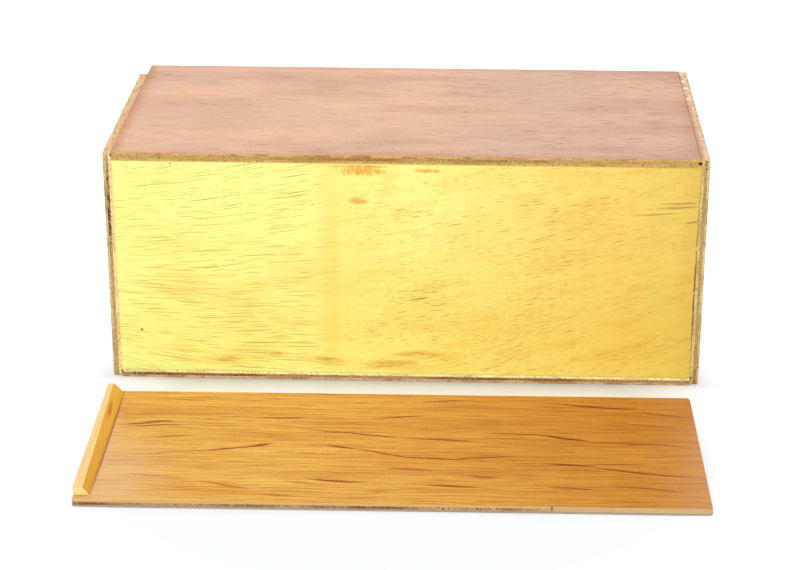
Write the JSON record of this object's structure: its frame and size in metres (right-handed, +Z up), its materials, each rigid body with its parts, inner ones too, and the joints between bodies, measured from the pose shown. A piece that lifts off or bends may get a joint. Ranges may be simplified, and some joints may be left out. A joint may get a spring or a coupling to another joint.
{
  "type": "sliding-lid plywood puzzle box",
  "caption": "Long plywood puzzle box lying on its side, with a cut-down end, grooved walls and a sliding lid with a bevelled finger strip, drawn out and laid in front.",
  "frame": {"origin": "middle of the long side that the box lies on, on the surface under it", "axes": "+X along the box to the right, towards the full end; +Y from the box's floor panel to its mouth; +Z up"},
  "size_m": [0.25, 0.2383, 0.102],
  "materials": {
    "mahogany_veneer": "thin worn varnish",
    "golden_veneer": "thin amber varnish",
    "pale_veneer": "bare",
    "crossband_core": "sawn",
    "fir_veneer": "amber varnish",
    "strip_wood": "amber varnish"
  },
  "bodies": {
    "box": {"upper_wall_face_veneer": "mahogany_veneer", "upper_wall_core": "crossband_core", "upper_wall_inner_veneer": "pale_veneer", "upper_wall_groove_lip": "pale_veneer", "lower_wall_face_veneer": "mahogany_veneer", "lower_wall_core": "crossband_core", "lower_wall_inner_veneer": "pale_veneer", "lower_wall_groove_lip": "pale_veneer", "left_end_face_veneer": "mahogany_veneer", "left_end_core": "crossband_core", "left_end_inner_veneer": "pale_veneer", "right_end_face_veneer": "mahogany_veneer", "right_end_core": "crossband_core", "right_end_inner_veneer": "pale_veneer", "floor_face_veneer": "golden_veneer", "floor_core": "crossband_core", "floor_inner_veneer": "pale_veneer"},
    "lid": {"lid_face_veneer": "fir_veneer", "lid_core": "crossband_core", "lid_under_veneer": "fir_veneer", "lid_finger_strip": "strip_wood"}
  },
  "joints": [
    {"name": "lid_slide", "type": "slide", "parent": "box", "child": "lid", "axis": [-1, 0, 0], "range_m": [0, 0.2428]}
  ]
}
